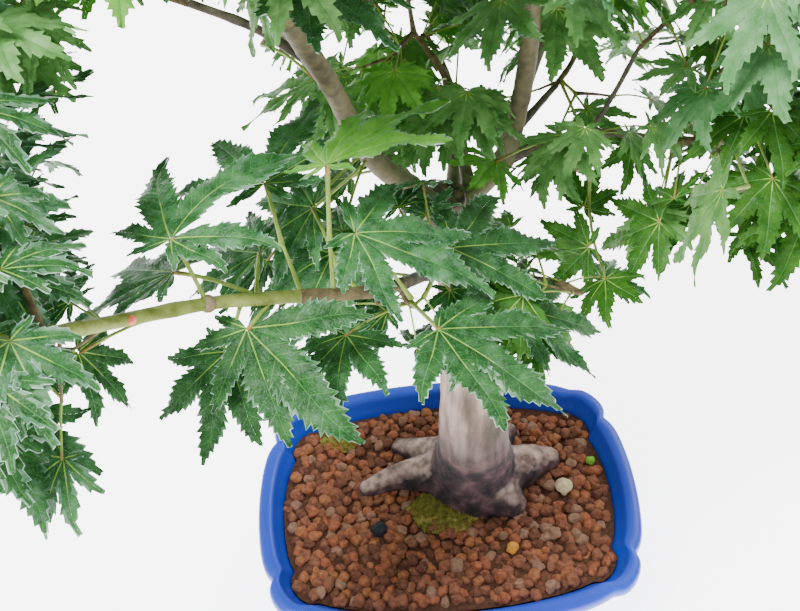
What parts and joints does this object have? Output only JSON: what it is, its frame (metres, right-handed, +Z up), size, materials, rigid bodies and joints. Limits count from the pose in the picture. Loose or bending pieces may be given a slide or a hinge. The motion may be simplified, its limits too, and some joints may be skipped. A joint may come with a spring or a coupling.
{
  "type": "japanese maple bonsai in a glazed pot",
  "caption": "Small japanese maple bonsai with a flared trunk, branching boughs and pointed palmate leaves, standing in a lobed rectangular blue glazed pot of grainy soil.",
  "frame": {"origin": "bottom centre of the whole plant's bounding box, on the surface that the pot's feet stand on", "axes": "+Z up; +X to the right along the pot's length and +Y to the back, seen from the front"},
  "size_m": [0.3474, 0.3024, 0.4428],
  "materials": {
    "glaze": "glossy cobalt blue glaze",
    "soil": "moist red-brown fired clay grains",
    "moss": "soft green cushion moss",
    "bark_pale": "matte pale grey bark",
    "bark_dark": "matte grey-brown bark",
    "foliage": "satin green leaf"
  },
  "bodies": {
    "root": {"pot": "glaze", "soil": "soil", "trunk": "bark_pale", "moss_front": "moss", "moss_back": "moss", "bough_upper_left": "bark_dark", "bough_leader": "bark_dark", "bough_front_left": "bark_dark", "bough_front_right": "bark_dark", "bough_right": "bark_dark", "bough_right_high": "bark_dark", "bough_middle": "bark_dark", "bough_fork": "bark_dark", "bough_back": "bark_dark", "bough_back_left": "bark_dark", "bough_back_right": "bark_dark", "bough_top_left": "bark_dark", "bough_left": "bark_dark", "foliage_front_left": "foliage", "foliage_front": "foliage", "foliage_front_right": "foliage", "foliage_right": "foliage", "foliage_middle": "foliage", "foliage_fork": "foliage", "foliage_right_high": "foliage", "foliage_back": "foliage", "foliage_back_left": "foliage", "foliage_back_right": "foliage", "foliage_upper_left": "foliage", "foliage_left": "foliage", "foliage_top_left": "foliage", "foliage_top": "foliage"}
  },
  "joints": []
}
